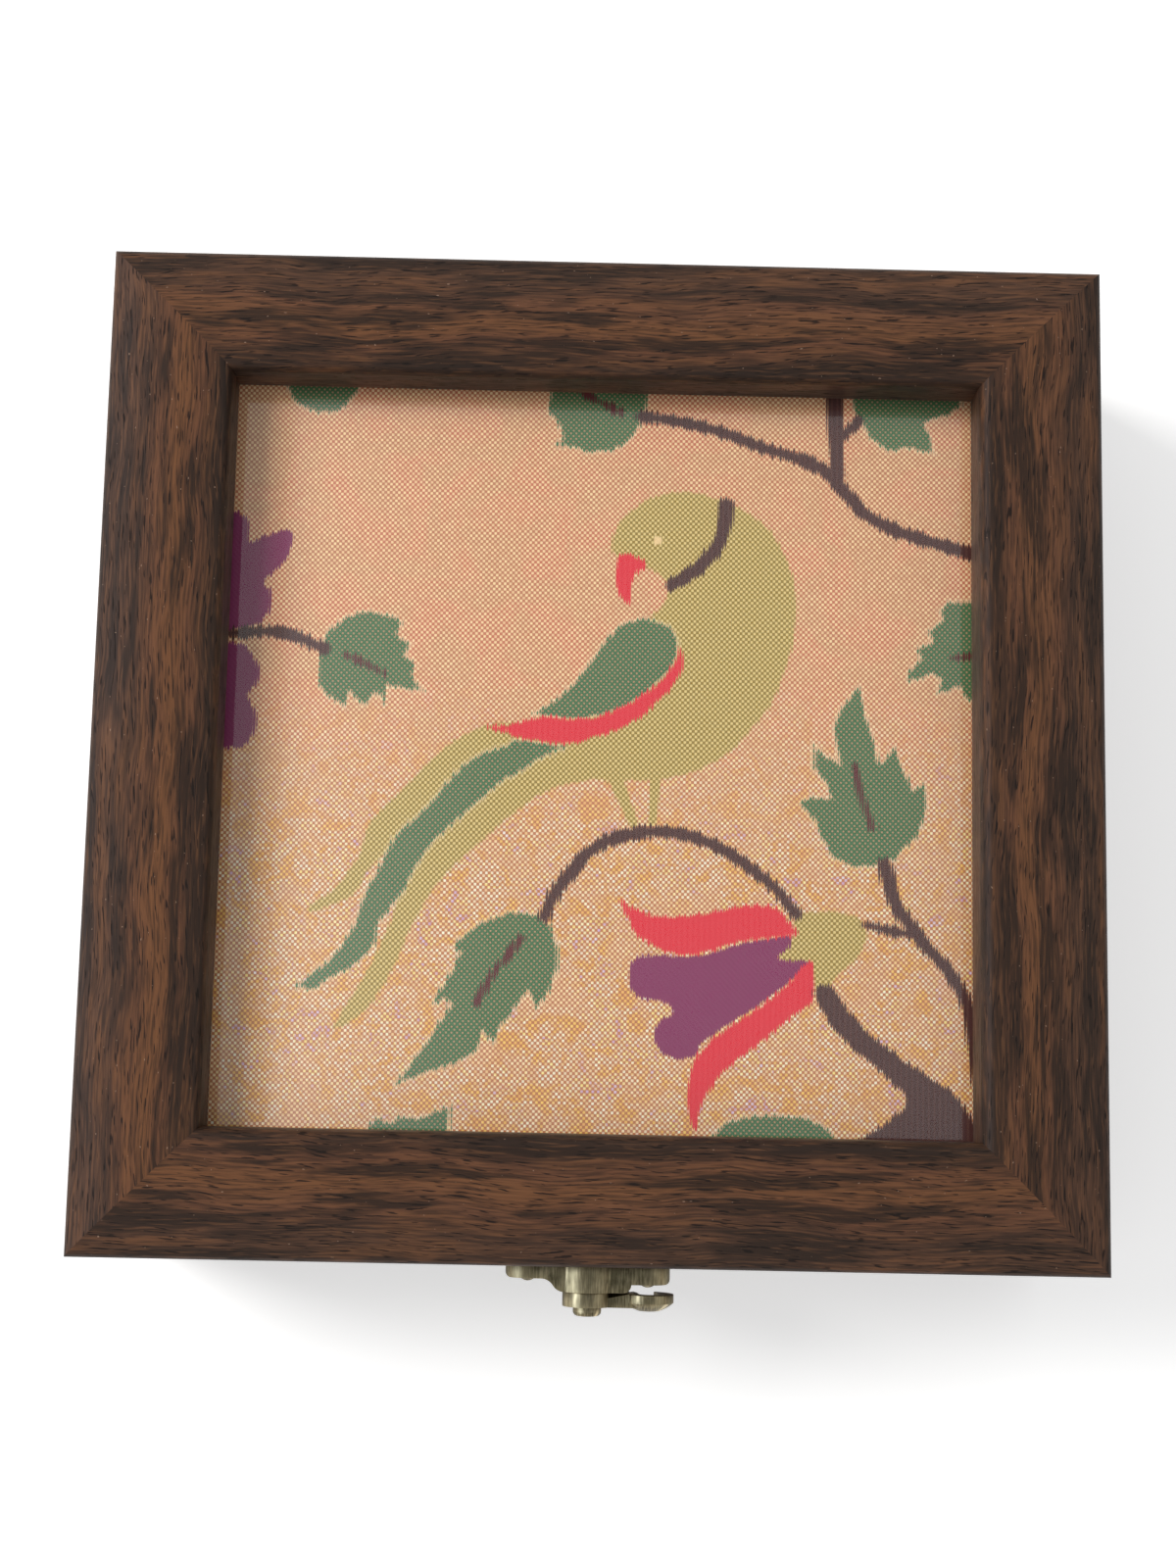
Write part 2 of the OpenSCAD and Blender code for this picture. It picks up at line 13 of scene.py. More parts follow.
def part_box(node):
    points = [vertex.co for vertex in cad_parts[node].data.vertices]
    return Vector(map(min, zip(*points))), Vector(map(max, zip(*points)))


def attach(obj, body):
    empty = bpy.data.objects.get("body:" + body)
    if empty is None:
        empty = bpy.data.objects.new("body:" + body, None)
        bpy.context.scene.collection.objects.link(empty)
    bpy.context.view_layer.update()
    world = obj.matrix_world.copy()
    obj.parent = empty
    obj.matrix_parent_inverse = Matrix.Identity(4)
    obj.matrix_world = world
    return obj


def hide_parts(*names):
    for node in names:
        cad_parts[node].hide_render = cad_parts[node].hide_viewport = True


bl_info = {
    "name": "Brocade Keepsake Box",
    "version": (1, 0, 0),
    "blender": (4, 5, 0),
    "location": "View3D > Sidebar > Keepsake Box",
    "description": "Builds the finish of a square keepsake box with a woven panel under glass",
    "category": "Object",
}

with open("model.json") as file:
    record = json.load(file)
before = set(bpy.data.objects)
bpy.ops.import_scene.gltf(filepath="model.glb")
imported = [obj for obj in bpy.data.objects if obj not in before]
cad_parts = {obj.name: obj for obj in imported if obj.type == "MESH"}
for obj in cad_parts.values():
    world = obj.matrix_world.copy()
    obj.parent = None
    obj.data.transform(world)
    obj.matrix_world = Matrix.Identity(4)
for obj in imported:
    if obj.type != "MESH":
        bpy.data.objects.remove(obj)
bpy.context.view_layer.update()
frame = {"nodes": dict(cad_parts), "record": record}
MM = 0.001
LID_LOW, LID_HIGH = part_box("rail_front")
LID_HALF = LID_HIGH.x
PARTING_Z = LID_LOW.z
CLOTH_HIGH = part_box("brocade_cloth")[1]
PIVOT = Vector(next(j["pos_m"] for j in frame["record"]["behaviour"]["joints"] if j["name"] == "latch_swing"))


def tone(red, green, blue):
    """A screen colour, from 0 to 255, as linear light."""
    parts = [c / 255 for c in (red, green, blue)]
    return tuple(c / 12.92 if c <= 0.04045 else ((c + 0.055) / 1.055) ** 2.4 for c in parts)


def colour_prop(name, description, default):
    return FloatVectorProperty(
        name=name, description=description, subtype="COLOR", size=3, min=0, max=1, default=default
    )


def length_prop(name, description, default):
    return FloatProperty(
        name=name, description=description, default=default, min=0, subtype="DISTANCE", unit="LENGTH",
        precision=5,
    )


class FoilSettings(bpy.types.PropertyGroup):
    dark: colour_prop("Dark grain", "Colour of the dark bands of the grain", tone(44, 33, 27))
    warm: colour_prop("Warm grain", "Brown of the inner third and of the light streaks", tone(106, 70, 46))
    streak: length_prop("Streak width", "Width of the grain's main streaks", 1.7 * MM)
    pore: length_prop("Pore width", "Width of the short dark pores", 0.3 * MM)


class BrocadeSettings(bpy.types.PropertyGroup):
    thread_x: length_prop("Column pitch", "Distance between the woven dots, side to side", 0.42 * MM)
    thread_y: length_prop("Row pitch", "Distance between the woven dots, front to back", 0.44 * MM)
    ground: colour_prop("Ground", "Peach ground between the metal threads", tone(192, 122, 86))
    metal: colour_prop("Metal thread", "Pale gold thread that floats on the ground", tone(252, 222, 174))
    olive: colour_prop("Olive yarn", "Body, calyx and outer tail feathers", tone(150, 122, 50))
    green: colour_prop("Green yarn", "Wing, leaves and inner tail feather", tone(62, 108, 68))
    red: colour_prop("Red yarn", "Beak, wing band and petals", tone(222, 38, 56))
    purple: colour_prop("Purple yarn", "Lobes of the flowers", tone(128, 42, 88))
    brown: colour_prop("Brown yarn", "Branches and the neck band", tone(70, 38, 36))


class BrassSettings(bpy.types.PropertyGroup):
    metal: colour_prop("Tarnished metal", "Olive bronze of the flat faces", (0.26, 0.22, 0.125))
    # Lighter edge metal: partly rubbed wear, partly a painted highlight along the rims
    wear_and_highlight: colour_prop("Worn metal", "Brighter metal along worn edges", (0.80, 0.68, 0.42))
    edge: length_prop("Edge radius", "Softening of the stamped edges", 0.22 * MM)


class VelvetSettings(bpy.types.PropertyGroup):
    pile: colour_prop("Pile", "Colour of the velvet's pile", (0.15, 0.006, 0.016))
    edge: length_prop("Turned edge", "Radius where the velvet turns over its card", 0.5 * MM)
    crown: length_prop("Padding", "Rise of the padded cards at their middle", 0.35 * MM)


class StageSettings(bpy.types.PropertyGroup):
    lens: FloatProperty(name="Lens", description="Focal length on a 36 mm frame", default=49.5, unit="CAMERA")
    eye: FloatVectorProperty(
        name="Camera place", description="Place of the camera", size=3, subtype="XYZ", unit="LENGTH",
        default=(-0.0040, -0.0484, 0.3672),
    )
    tilt: FloatVectorProperty(
        name="Camera turns", description="Tilt, sway and roll of the camera", size=3, subtype="EULER",
        unit="ROTATION", default=(math.radians(-7.6956), math.radians(0.4413), math.radians(-1.2506)),
    )
    floor: colour_prop("Floor", "Colour of the floor", (0.86, 0.86, 0.86))
    window: FloatProperty(
        name="Window lamp", description="Power of the soft lamp on the left", default=13, unit="POWER"
    )
    room: FloatProperty(name="Room light", description="Strength of the even light all round", default=0.55)


def add(tree, kind, inputs=None, **settings):
    """A new node with its settings, and its inputs linked or set."""
    node = tree.nodes.new(kind)
    for name, value in settings.items():
        setattr(node, name, value)
    for key, value in (inputs or {}).items():
        if isinstance(value, bpy.types.NodeSocket):
            tree.links.new(value, node.inputs[key])
        else:
            node.inputs[key].default_value = value
    return node


def calc(tree, operation, *values):
    return add(tree, "ShaderNodeMath", dict(enumerate(values)), operation=operation).outputs[0]


def rgba(colour):
    return (*colour[:3], 1.0) if not isinstance(colour, bpy.types.NodeSocket) else colour


def mixed(tree, share, first, second):
    """Colour that goes from the first to the second as share goes from 0 to 1."""
    inputs = {0: share, 6: rgba(first), 7: rgba(second)}
    return add(tree, "ShaderNodeMix", inputs, data_type="RGBA").outputs[2]


def scaled(tree, value, low, high, to_low=0.0, to_high=1.0):
    inputs = {"Value": value, "From Min": low, "From Max": high, "To Min": to_low, "To Max": to_high}
    return add(tree, "ShaderNodeMapRange", inputs, clamp=True).outputs[0]


def grain_noise(tree, parts, detail=2.0, roughness=0.5):
    """Noise from a vector of three values, in units of the noise's own cells."""
    vector = add(tree, "ShaderNodeCombineXYZ", dict(enumerate(parts))).outputs[0]
    inputs = {"Vector": vector, "Scale": 1.0, "Detail": detail, "Roughness": roughness}
    return add(tree, "ShaderNodeTexNoise", inputs, noise_dimensions="3D").outputs[0]


def ramp(tree, value, stops):
    node = add(tree, "ShaderNodeValToRGB", {0: value})
    points = node.color_ramp.elements
    while len(points) < len(stops):
        points.new(1.0)
    for point, (place, colour) in zip(points, stops):
        point.position = place
        point.color = rgba(colour)
    return node.outputs[0]


def new_group(name, inputs, outputs):
    """A node group with named sockets. Returns the group, its input node and its output node."""
    group = bpy.data.node_groups.new(name, "ShaderNodeTree")
    for socket, kind in inputs:
        group.interface.new_socket(socket, in_out="INPUT", socket_type=kind)
    for socket, kind in outputs:
        group.interface.new_socket(socket, in_out="OUTPUT", socket_type=kind)
    return group, group.nodes.new("NodeGroupInput"), group.nodes.new("NodeGroupOutput")


def new_material(name, **sockets):
    """A material with its Principled shader's sockets set. Returns it, its tree and the shader."""
    material = bpy.data.materials.new(name)
    material.use_nodes = True
    tree = material.node_tree
    shader = tree.nodes["Principled BSDF"]
    for socket, value in sockets.items():
        shader.inputs[socket.replace("_", " ")].default_value = value
    return material, tree, shader


def bumped(tree, shader, height, strength, distance):
    inputs = {"Height": height, "Strength": strength, "Distance": distance}
    bump = add(tree, "ShaderNodeBump", inputs)
    tree.links.new(bump.outputs[0], shader.inputs["Normal"])


def object_place(tree):
    """Object coordinates, split into three values."""
    place = add(tree, "ShaderNodeTexCoord").outputs["Object"]
    return add(tree, "ShaderNodeSeparateXYZ", {0: place}).outputs, place


def dress(nodes, material):
    """Gives the named CAD nodes a material."""
    for name in nodes:
        slots = frame["nodes"][name].material_slots
        if not slots:
            frame["nodes"][name].data.materials.append(material)
        for slot in frame["nodes"][name].material_slots:
            slot.link = "OBJECT"
            slot.material = material


def finished(name, shape, material, body, replaced):
    """Turns a bmesh into a named piece that rides on a body and stands for CAD nodes."""
    mesh = bpy.data.meshes.new(name)
    shape.to_mesh(mesh)
    shape.free()
    piece = bpy.data.objects.new(name, mesh)
    bpy.context.scene.collection.objects.link(piece)
    mesh.materials.append(material)
    mesh.shade_smooth()
    mesh.set_sharp_from_angle(angle=math.radians(32))
    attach(piece, body)
    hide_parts(*replaced)
    return piece


def merged_copy(node):
    """A CAD node's shape as a clean bmesh with flat faces joined up."""
    shape = bmesh.new()
    shape.from_mesh(frame["nodes"][node].data)
    bmesh.ops.remove_doubles(shape, verts=shape.verts, dist=2e-6)
    bmesh.ops.dissolve_limit(shape, angle_limit=math.radians(0.6), verts=shape.verts, edges=shape.edges)
    return shape


def soften(shape, radius):
    """Rounds the sharp edges of a bmesh."""
    flattest = math.radians(35)
    edges = [e for e in shape.edges if len(e.link_faces) == 2 and e.calc_face_angle(0) > flattest]
    bmesh.ops.bevel(
        shape, geom=edges, offset=radius, offset_type="OFFSET", segments=2, profile=0.5,
        affect="EDGES", clamp_overlap=True, material=-1,
    )
    return shape


def foil_group():
    """Printed wood grain. Its place runs along, across and through the grain, in metres."""
    s = bpy.context.scene.box_foil
    group, source, result = new_group(
        "Foil grain",
        [("Along", "NodeSocketFloat"), ("Across", "NodeSocketFloat"), ("Through", "NodeSocketFloat")],
        [("Colour", "NodeSocketColor"), ("Roughness", "NodeSocketFloat"), ("Height", "NodeSocketFloat")],
    )
    along, across, through = source.outputs[0], source.outputs[1], source.outputs[2]

    def cells(length, width, side=across):
        wide = [calc(group, "DIVIDE", part, width) for part in (side, through)]
        return [calc(group, "DIVIDE", along, length), *wide]

    rail_width = 19 * MM
    sway = 4.5 * MM
    wander = grain_noise(group, cells(26 * MM, 16 * MM), 2.0)
    shift = scaled(group, wander, 0, 1, -sway, sway)
    wavy = calc(group, "ADD", across, calc(group, "MULTIPLY", shift, 0.4))
    slanted = calc(group, "ADD", wavy, calc(group, "MULTIPLY", along, 0.06))
    band = scaled(group, calc(group, "ADD", across, shift), -5 * MM, rail_width)
    tones = [
        (0.0, tone(72, 50, 38)), (0.22, tone(64, 46, 36)), (0.36, tone(82, 57, 43)),
        (0.48, tone(70, 49, 38)), (0.60, tone(98, 65, 47)), (0.74, s.warm), (0.86, tone(94, 62, 45)),
        (0.95, tone(66, 46, 35)), (1.0, tone(56, 40, 31)),
    ]
    base = ramp(group, band, tones)
    streaks = grain_noise(group, cells(24 * MM, s.streak * 1.6, wavy), 3.0, 0.6)
    fine = grain_noise(group, cells(6 * MM, s.streak * 0.2, wavy), 2.0, 0.6)
    dark = scaled(group, streaks, 0.50, 0.60)
    light = scaled(group, streaks, 0.46, 0.36)
    colour = mixed(group, calc(group, "MULTIPLY", light, 0.5), base, s.warm)
    colour = mixed(group, calc(group, "MULTIPLY", dark, 0.85), colour, s.dark)
    colour = mixed(group, scaled(group, fine, 0.46, 0.62, 0.0, 0.6), colour, s.dark)
    colour = mixed(group, scaled(group, fine, 0.46, 0.32, 0.0, 0.3), colour, tone(126, 86, 58))
    pores = grain_noise(group, cells(3.2 * MM, s.pore, slanted), 1.0)
    pore = scaled(group, pores, 0.62, 0.67)
    colour = mixed(group, calc(group, "MULTIPLY", pore, 0.9), colour, tone(26, 19, 16))
    specks = grain_noise(group, cells(0.5 * MM, 0.35 * MM), 0.0)
    speck = scaled(group, specks, 0.855, 0.875)
    colour = mixed(group, calc(group, "MULTIPLY", speck, 0.5), colour, tone(170, 140, 120))
    matt = scaled(group, fine, 0.3, 0.7, 0.36, 0.50)
    roughness = calc(group, "ADD", matt, calc(group, "MULTIPLY", pore, 0.2))
    height = calc(group, "SUBTRACT", calc(group, "MULTIPLY", fine, 0.5), pore)
    for socket, value in zip(result.inputs, (colour, roughness, height)):
        group.links.new(value, socket)
    return group


def foil_material(group, name, along, across):
    """Foil on one side of the box. Its grain runs along an axis, its bands inward from the outer face."""
    material, tree, shader = new_material(name, IOR=1.5, Specular_IOR_Level=0.22)
    place, _ = object_place(tree)
    index = {"x": 0, "y": 1}
    run = place[index[along]]
    inward = calc(tree, "SUBTRACT", LID_HALF, calc(tree, "ABSOLUTE", place[index[across]]))
    below_top = calc(tree, "SUBTRACT", place[2], PARTING_Z + 13 * MM)
    drop = calc(tree, "MULTIPLY", below_top, 0.4)
    sheet_shift = {"x": 0.37, "y": 0.71}[along]
    offset = calc(tree, "MULTIPLY", calc(tree, "SIGN", place[index[across]]), sheet_shift)
    node = add(tree, "ShaderNodeGroup", node_tree=group)
    tree.links.new(calc(tree, "ADD", run, offset), node.inputs[0])
    tree.links.new(calc(tree, "ADD", inward, drop), node.inputs[1])
    tree.links.new(place[2], node.inputs[2])
    tree.links.new(node.outputs[0], shader.inputs["Base Color"])
    tree.links.new(node.outputs[1], shader.inputs["Roughness"])
    bumped(tree, shader, node.outputs[2], 0.35, 0.05 * MM)
    return material


class BOX_OT_foil(bpy.types.Operator):
    """Covers the moulding and the walls with wood-grain foil"""

    bl_idname = "keepsake.foil"
    bl_label = "Foil"

    def execute(self, context):
        group = foil_group()
        cross = foil_material(group, "Foil along X", "x", "y")
        deep = foil_material(group, "Foil along Y", "y", "x")
        dress(["rail_front", "rail_back", "wall_front", "wall_back"], cross)
        dress(["rail_left", "rail_right", "wall_left", "wall_right"], deep)
        return {"FINISHED"}


# Motif outlines, read across and down a flattened view of the cloth, in that view's own frame
# read_points turns them into millimetres from the panel's middle, X right and Y to the back

READINGS_PER_MM = 14.4
READING_EDGE_MM = 60.0


def read_points(*points):
    """An outline in millimetres, from the readings of its points."""
    return [
        (round(x / READINGS_PER_MM - READING_EDGE_MM, 1), round(READING_EDGE_MM - y / READINGS_PER_MM, 1))
        for x, y in points
    ]


BODY = read_points(
    (893, 408), (888, 370), (905, 335), (940, 300), (980, 275), (1030, 263), (1080, 267), (1140, 285),
    (1190, 310), (1235, 345), (1270, 400), (1290, 460), (1298, 520), (1292, 590), (1275, 660),
    (1245, 735), (1200, 795), (1150, 850), (1080, 890), (1000, 912), (930, 915), (870, 915), (800, 925),
    (750, 945), (690, 985), (640, 1030), (560, 1105), (500, 1180), (450, 1280), (430, 1330),
    (400, 1385), (370, 1430), (305, 1470), (350, 1390), (395, 1300), (430, 1200), (420, 1090),
    (370, 1120), (345, 1165), (310, 1195), (235, 1218), (290, 1175), (340, 1110), (355, 1070),
    (370, 1020), (440, 945), (480, 900), (520, 860), (560, 830), (640, 797), (760, 790), (850, 720),
    (930, 620), (975, 548), (1000, 525), (1014, 480), (985, 447), (955, 432),
)
WING = read_points(
    (965, 555), (1000, 562), (1025, 580), (1037, 610), (1030, 650), (1000, 690), (950, 735), (880, 770),
    (800, 782), (727, 776), (722, 768), (760, 745), (800, 710), (830, 675), (850, 640), (880, 600),
    (905, 575), (930, 560),
)
WING_BAND = read_points(
    (618, 803), (680, 797), (740, 776), (800, 782), (860, 775), (920, 750), (970, 715), (1010, 680),
    (1030, 645), (1037, 612), (1047, 640), (1045, 668), (1030, 700), (1000, 735), (960, 770),
    (910, 800), (850, 825), (790, 838), (730, 835), (680, 822),
)
TAIL_FEATHER = read_points(
    (790, 843), (700, 832), (650, 850), (600, 870), (560, 900), (520, 945), (490, 985), (455, 1020),
    (425, 1050), (405, 1090), (385, 1130), (365, 1170), (350, 1220), (335, 1260), (300, 1310),
    (260, 1350), (220, 1380), (250, 1387), (300, 1360), (345, 1330), (385, 1290), (392, 1245),
    (425, 1200), (455, 1150), (480, 1100), (510, 1060), (560, 1010), (610, 960), (660, 920), (710, 890),
    (760, 860),
)
BEAK = read_points(
    (905, 412), (930, 408), (962, 430), (942, 450), (930, 480), (926, 522), (905, 495), (895, 465),
    (898, 430),
)
CALYX = read_points(
    (1300, 1212), (1340, 1200), (1400, 1200), (1440, 1213), (1457, 1240), (1448, 1275), (1420, 1310),
    (1390, 1335), (1365, 1372), (1345, 1365), (1330, 1325), (1265, 1298), (1300, 1250),
)
UPPER_PETAL = read_points(
    (918, 1180), (950, 1200), (1000, 1212), (1060, 1212), (1130, 1200), (1200, 1185), (1260, 1190),
    (1285, 1215), (1306, 1245), (1270, 1255), (1210, 1262), (1160, 1272), (1110, 1290), (1060, 1298),
    (1010, 1287), (965, 1262), (940, 1230),
)
FLOWER_LOBES = read_points(
    (1290, 1245), (1290, 1275), (1268, 1300), (1340, 1310), (1300, 1345), (1230, 1400), (1150, 1450),
    (1100, 1490), (1085, 1515), (1045, 1522), (1010, 1505), (995, 1470), (1010, 1440), (1036, 1424),
    (1018, 1399), (975, 1395), (945, 1370), (940, 1330), (960, 1305), (1000, 1297), (1060, 1300),
    (1120, 1290), (1180, 1270), (1240, 1255),
)
LOWER_PETAL = read_points(
    (1335, 1308), (1345, 1350), (1340, 1387), (1310, 1412), (1270, 1450), (1220, 1490), (1170, 1530),
    (1130, 1570), (1105, 1620), (1090, 1672), (1075, 1640), (1072, 1590), (1085, 1530), (1110, 1490),
    (1160, 1450), (1220, 1410), (1280, 1360),
)
TRUNK = read_points(
    (1345, 1375), (1375, 1360), (1430, 1425), (1490, 1480), (1560, 1530), (1620, 1565), (1660, 1600),
    (1690, 1650), (1740, 1740), (1400, 1740), (1450, 1682), (1500, 1652), (1535, 1620), (1540, 1590),
    (1500, 1550), (1440, 1500), (1390, 1450),
)
RIGHT_LEAF = read_points(
    (1440, 695), (1400, 745), (1385, 790), (1395, 850), (1400, 876), (1362, 852), (1342, 828),
    (1340, 880), (1365, 910), (1385, 950), (1345, 945), (1312, 958), (1340, 990), (1355, 1030),
    (1385, 1075), (1420, 1095), (1470, 1097), (1520, 1075), (1565, 1030), (1590, 960), (1585, 910),
    (1560, 926), (1540, 880), (1515, 833), (1495, 862), (1482, 866), (1475, 820), (1455, 760),
)
LEFT_LEAF = read_points(
    (245, 640), (260, 600), (295, 565), (350, 550), (400, 560), (426, 575), (407, 600), (440, 620),
    (431, 650), (456, 670), (445, 690), (478, 728), (430, 722), (395, 715), (390, 757), (370, 730),
    (345, 762), (312, 730), (301, 767), (270, 745), (245, 715),
)
LOWER_LEAF = read_points(
    (740, 1212), (670, 1215), (620, 1235), (585, 1262), (555, 1292), (576, 1300), (550, 1350),
    (520, 1400), (512, 1420), (545, 1402), (556, 1415), (530, 1455), (500, 1505), (440, 1590),
    (500, 1565), (560, 1545), (610, 1515), (625, 1468), (650, 1496), (670, 1450), (720, 1383),
    (740, 1422), (770, 1380), (785, 1330), (785, 1290), (770, 1240),
)
TOP_LEAF = read_points(
    (760, 5), (740, 50), (735, 80), (757, 110), (771, 145), (750, 160), (800, 165), (840, 176),
    (890, 165), (930, 130), (951, 85), (940, 5),
)
CORNER_LEAF = read_points(
    (1420, 10), (1425, 60), (1440, 90), (1460, 130), (1500, 155), (1560, 148), (1607, 164), (1600, 120),
    (1580, 92), (1640, 67), (1670, 45), (1640, 5),
)
EDGE_LEAF = read_points(
    (1740, 495), (1690, 500), (1640, 500), (1615, 520), (1625, 540), (1590, 568), (1600, 590),
    (1568, 610), (1580, 630), (1545, 662), (1543, 682), (1600, 665), (1620, 675), (1610, 712),
    (1660, 690), (1680, 722), (1740, 720),
)
TOP_BIT = read_points(
    (160, 10), (165, 65), (185, 80), (220, 96), (260, 90), (290, 70), (305, 10),
)
LOW_BIT = read_points(
    (360, 1740), (385, 1680), (402, 1662), (440, 1674), (452, 1655), (490, 1662), (530, 1643),
    (562, 1633), (556, 1740),
)
LOW_BIT_2 = read_points(
    (1120, 1740), (1140, 1670), (1160, 1655), (1220, 1640), (1280, 1638), (1340, 1650), (1375, 1670),
    (1400, 1740),
)
SIDE_FLOWER_UP = read_points(
    (-20, 300), (45, 328), (70, 350), (75, 402), (110, 385), (168, 373), (165, 420), (140, 460),
    (115, 490), (130, 510), (130, 550), (110, 580), (75, 592), (-20, 600),
)
SIDE_FLOWER_LOW = read_points(
    (-20, 618), (45, 625), (80, 640), (108, 680), (105, 720), (86, 745), (105, 780), (105, 825),
    (85, 855), (50, 864), (-20, 870),
)
ARC_BRANCH = read_points(
    (755, 1220), (775, 1170), (820, 1110), (870, 1060), (940, 1035), (1010, 1028), (1080, 1040),
    (1150, 1070), (1210, 1110), (1260, 1150), (1300, 1203),
)
NECK_BAND = read_points(
    (1140, 290), (1138, 330), (1125, 375), (1095, 420), (1060, 450), (1020, 475),
)
TOP_BRANCH = read_points(
    (945, 90), (1000, 95), (1080, 110), (1150, 130), (1220, 155), (1290, 175), (1350, 200), (1385, 230),
    (1420, 270), (1460, 310), (1520, 340), (1600, 365), (1720, 398),
)
TOP_TWIG = read_points(
    (1380, 0), (1382, 100), (1385, 150), (1390, 215),
)
CORNER_TWIG = read_points(
    (1390, 135), (1435, 88),
)
RIGHT_STEM = read_points(
    (1495, 1090), (1515, 1160), (1550, 1220), (1600, 1280), (1650, 1340), (1680, 1410), (1692, 1490),
    (1700, 1560),
)
SIDE_TWIG = read_points(
    (1455, 1222), (1510, 1235), (1560, 1243),
)
LEFT_STEM = read_points(
    (40, 607), (130, 600), (190, 610), (250, 637),
)
LEFT_LEG = read_points(
    (900, 912), (925, 960), (945, 1015),
)
RIGHT_LEG = read_points(
    (990, 908), (988, 960), (985, 1010),
)
V_RIGHT = read_points(
    (1430, 872), (1445, 930), (1468, 1010),
)
V_LEFT = read_points(
    (300, 650), (345, 668), (387, 690),
)
V_LOWER = read_points(
    (705, 1268), (650, 1340), (610, 1410),
)
V_TOP = read_points(
    (800, 25), (840, 50), (895, 80),
)
V_EDGE = read_points(
    (1650, 626), (1720, 618),
)
EYE = read_points(
    (988, 375),
)
# Each line has its half width at the start and at the end, in millimetres
YARNS = {
    "olive": {"loops": [BODY, CALYX], "lines": [(LEFT_LEG, 1.0, 0.55), (RIGHT_LEG, 0.8, 0.6)]},
    "green": {"loops": [WING, TAIL_FEATHER, RIGHT_LEAF, LEFT_LEAF, LOWER_LEAF, TOP_LEAF, CORNER_LEAF,
                        EDGE_LEAF, TOP_BIT, LOW_BIT, LOW_BIT_2], "lines": []},
    "purple": {"loops": [FLOWER_LOBES, SIDE_FLOWER_UP, SIDE_FLOWER_LOW], "lines": []},
    "red": {"loops": [WING_BAND, BEAK, UPPER_PETAL, LOWER_PETAL], "lines": []},
    "brown": {"loops": [TRUNK], "lines": [
        (ARC_BRANCH, 0.95, 0.8), (NECK_BAND, 1.1, 0.95), (TOP_BRANCH, 0.8, 1.0), (TOP_TWIG, 1.25, 1.0),
        (CORNER_TWIG, 0.7, 0.7), (RIGHT_STEM, 1.0, 0.8), (SIDE_TWIG, 0.6, 0.7), (LEFT_STEM, 0.7, 0.8)]},
    "vein": {"loops": [], "lines": [(V_RIGHT, 0.35, 0.75), (V_LEFT, 0.5, 0.4), (V_LOWER, 0.5, 0.5),
                                    (V_TOP, 0.6, 0.6), (V_EDGE, 0.5, 0.4)]},
    "eye": {"loops": [], "lines": [(EYE, 0.75, 0.75)]},
}
SHARP = (RIGHT_LEAF, LEFT_LEAF, LOWER_LEAF, EDGE_LEAF, CORNER_LEAF, LOW_BIT)
FAR_MM = 9.0
REACH_MM = 3.0


def curved(points, closed):
    """Points on a smooth curve through the given ones."""
    steps = 5
    p = np.array(points, float)
    if len(p) < 3:
        return p
    p = np.vstack([p[-1], p, p[:2]]) if closed else np.vstack([2 * p[0] - p[1], p, 2 * p[-1] - p[-2]])
    out = []
    for a, b, c, d in zip(p, p[1:], p[2:], p[3:]):
        for t in np.arange(steps) / steps:
            out.append(0.5 * (2 * b + (c - a) * t + (2 * a - 5 * b + 4 * c - d) * t**2
                              + (3 * b - a - 3 * c + d) * t**3))
    if not closed:
        out.append(p[-2])
    return np.array(out)


def from_segment(x, y, a, b):
    """Distance of each place from the line between two points, and the nearest point's share along it."""
    run = b - a
    share = np.clip(((x - a[0]) * run[0] + (y - a[1]) * run[1]) / max(run @ run, 1e-9), 0, 1)
    return np.hypot(x - a[0] - share * run[0], y - a[1] - share * run[1]), share


def loop_depth(outline, x, y):
    """How deep each place lies inside a closed outline, negative outside."""
    far = np.full(x.shape, FAR_MM)
    inside = np.zeros(x.shape, bool)
    for a, b in zip(outline, np.roll(outline, -1, axis=0)):
        far = np.minimum(far, from_segment(x, y, a, b)[0])
        if a[1] != b[1]:
            crosses = (a[1] > y) != (b[1] > y)
            inside ^= crosses & (x < (b[0] - a[0]) * (y - a[1]) / (b[1] - a[1]) + a[0])
    return np.where(inside, far, -far)


def line_depth(line, start, end, x, y):
    """How deep each place lies inside a line that goes from one half width to another."""
    if len(line) == 1:
        return start - np.hypot(x - line[0][0], y - line[0][1])
    depth = np.full(x.shape, -FAR_MM)
    for i, (a, b) in enumerate(zip(line, line[1:])):
        far, share = from_segment(x, y, a, b)
        half = start + (end - start) * (i + share) / (len(line) - 1)
        depth = np.maximum(depth, half - far)
    return depth


def yarn_depth(yarn, x, y):
    """How deep each place lies inside any of a yarn's shapes, told apart only within reach of them."""
    depth = np.full(x.shape, -REACH_MM)

    def merge(outline, measure):
        low, high = outline.min(0) - REACH_MM, outline.max(0) + REACH_MM
        near = (x > low[0]) & (x < high[0]) & (y > low[1]) & (y < high[1])
        depth[near] = np.maximum(depth[near], measure(x[near], y[near]))

    for points in yarn["loops"]:
        outline = np.array(points, float) if points in SHARP else curved(points, True)
        merge(outline, lambda u, v, o=outline: loop_depth(o, u, v))
    for points, start, end in yarn["lines"]:
        line = curved(points, False)
        merge(line, lambda u, v, o=line, s=start, e=end: line_depth(o, s, e, u, v))
    return depth


